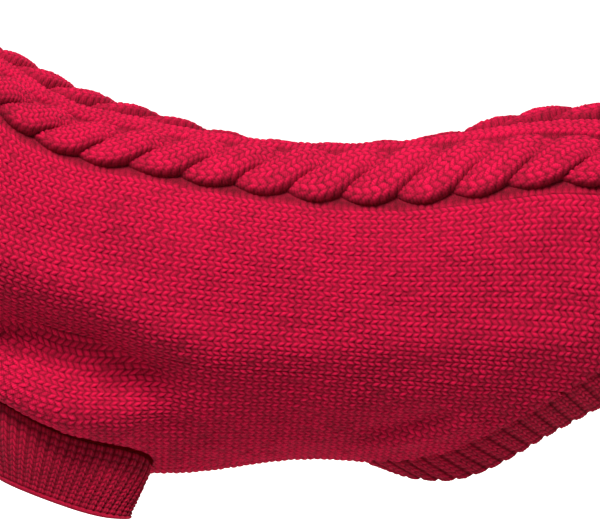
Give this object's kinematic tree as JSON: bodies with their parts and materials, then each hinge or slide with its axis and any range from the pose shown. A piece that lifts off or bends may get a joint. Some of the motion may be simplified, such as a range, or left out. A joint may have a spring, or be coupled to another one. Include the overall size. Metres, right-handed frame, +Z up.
{
  "type": "cable-knit dog sweater",
  "caption": "Hollow cable-knit dog sweater, filled out with no wearer: round neck band, cuffed front-leg openings and a slanting ribbed hem.",
  "frame": {"origin": "inner face of the back on its centre line, at the low point of the back, where the wearer's back carries the garment", "axes": "+Z up, -X towards the neck, +X towards the tail end, -Y towards the wearer's left side; the garment is even about the plane Y = 0"},
  "size_m": [0.5108, 0.1416, 0.2913],
  "materials": {
    "body_knit": "matt crimson worsted yarn, stockinette and cable knit",
    "rib_knit": "matt crimson worsted yarn, ribbed"
  },
  "bodies": {
    "root": {"back_panel": "body_knit", "belly_panel": "body_knit", "collar": "rib_knit", "cuff_left": "rib_knit", "cuff_right": "rib_knit", "hem_band": "rib_knit"}
  },
  "joints": []
}
